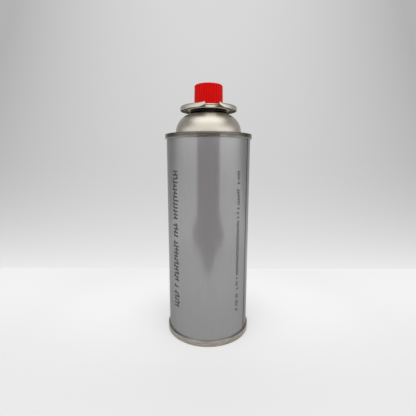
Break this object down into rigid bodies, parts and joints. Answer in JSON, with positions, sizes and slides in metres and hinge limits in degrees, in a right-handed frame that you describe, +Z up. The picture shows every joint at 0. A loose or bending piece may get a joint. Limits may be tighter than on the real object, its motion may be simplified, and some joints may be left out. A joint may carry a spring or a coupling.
{
  "type": "fuel canister",
  "caption": "Slim cylindrical fuel canister for a portable stove, with a domed top, a notched locking collar, a sprung valve stem and a ribbed push-on cap.",
  "frame": {"origin": "centre of the circle that the canister stands on", "axes": "+Z up along the can's axis, towards the cap; -Y towards the notch in the collar; +X to the right of someone who faces the notch"},
  "size_m": [0.0678, 0.0678, 0.1974],
  "materials": {
    "lacquered_tinplate": "satin silver-grey lacquer over tinplate, faint vertical streaks",
    "bare_tinplate": "bare warm-grey tinplate, turned and pressed, softly brushed round the axis",
    "red_plastic": "bright red moulded polyethylene, half gloss, fine upright ribs",
    "white_nylon": "natural moulded nylon",
    "black_rubber": "matt nitrile rubber",
    "spring_steel": "drawn spring wire"
  },
  "bodies": {
    "canister": {"can": "lacquered_tinplate", "valve_cup": "bare_tinplate", "cup_gasket": "black_rubber", "collar": "bare_tinplate", "valve_housing": "white_nylon", "valve_spring": "spring_steel", "stem_gasket": "black_rubber", "vapour_tube": "white_nylon"},
    "stem": {"valve_stem": "white_nylon"},
    "cap": {"cap": "red_plastic"}
  },
  "joints": [
    {"name": "cap_pull", "type": "slide", "parent": "canister", "child": "cap", "axis": [0, 0, 1], "range_m": [0, 0.025]},
    {"name": "stem_press", "type": "slide", "parent": "canister", "child": "stem", "axis": [0, 0, -1], "range_m": [0, 0.002], "stiffness_N_per_m": 2000, "springref_m": -0.004, "deforming": ["valve_spring"]}
  ]
}
